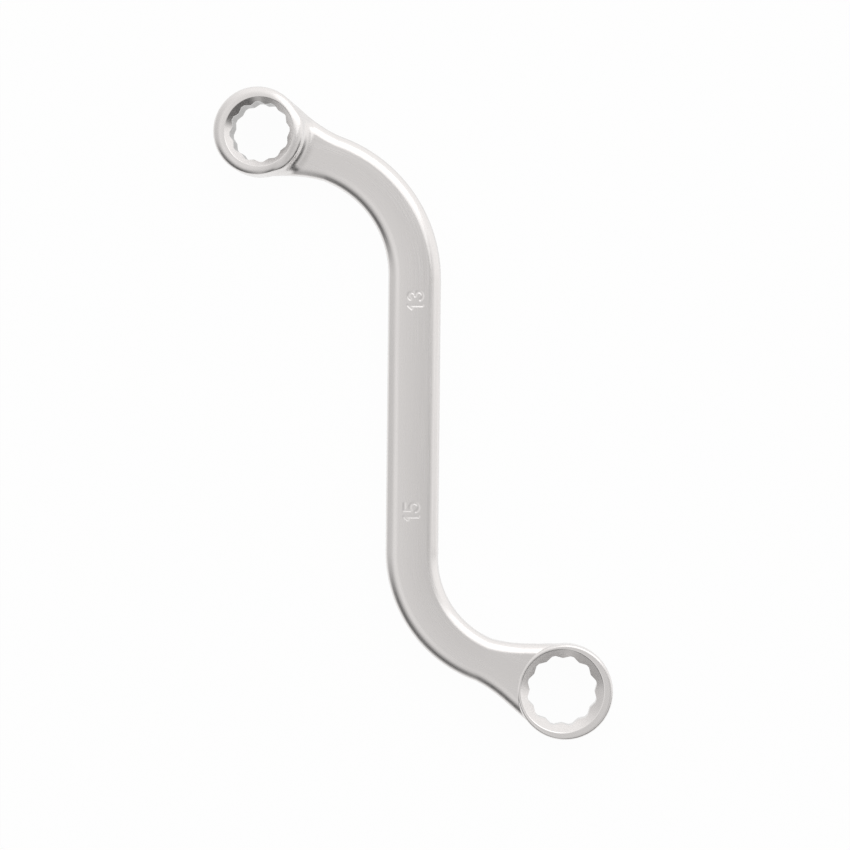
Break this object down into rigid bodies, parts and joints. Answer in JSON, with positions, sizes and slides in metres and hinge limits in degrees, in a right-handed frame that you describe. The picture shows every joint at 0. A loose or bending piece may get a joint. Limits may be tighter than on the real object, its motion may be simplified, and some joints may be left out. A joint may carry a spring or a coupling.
{
  "type": "s-shaped ring spanner",
  "caption": "S-shaped ring spanner in chrome-plated forged steel, bent opposite ways near its ends so that its nut rings reach round an obstruction.",
  "frame": {"origin": "middle of the straight shank, on its flat back face", "axes": "+Y along the shank towards the small ring, +Z out of the front face, +X to the side that the large ring bends to"},
  "size_m": [0.0977, 0.1563, 0.0124],
  "materials": {
    "chrome_ring_13": "polished chrome plating on forged steel",
    "chrome_shank": "satin to polished chrome plating on forged steel",
    "chrome_ring_15": "polished chrome plating on forged steel"
  },
  "bodies": {
    "root": {"ring_head_13": "chrome_ring_13", "bend_13": "chrome_shank", "shank": "chrome_shank", "bend_15": "chrome_shank", "ring_head_15": "chrome_ring_15"}
  },
  "joints": []
}
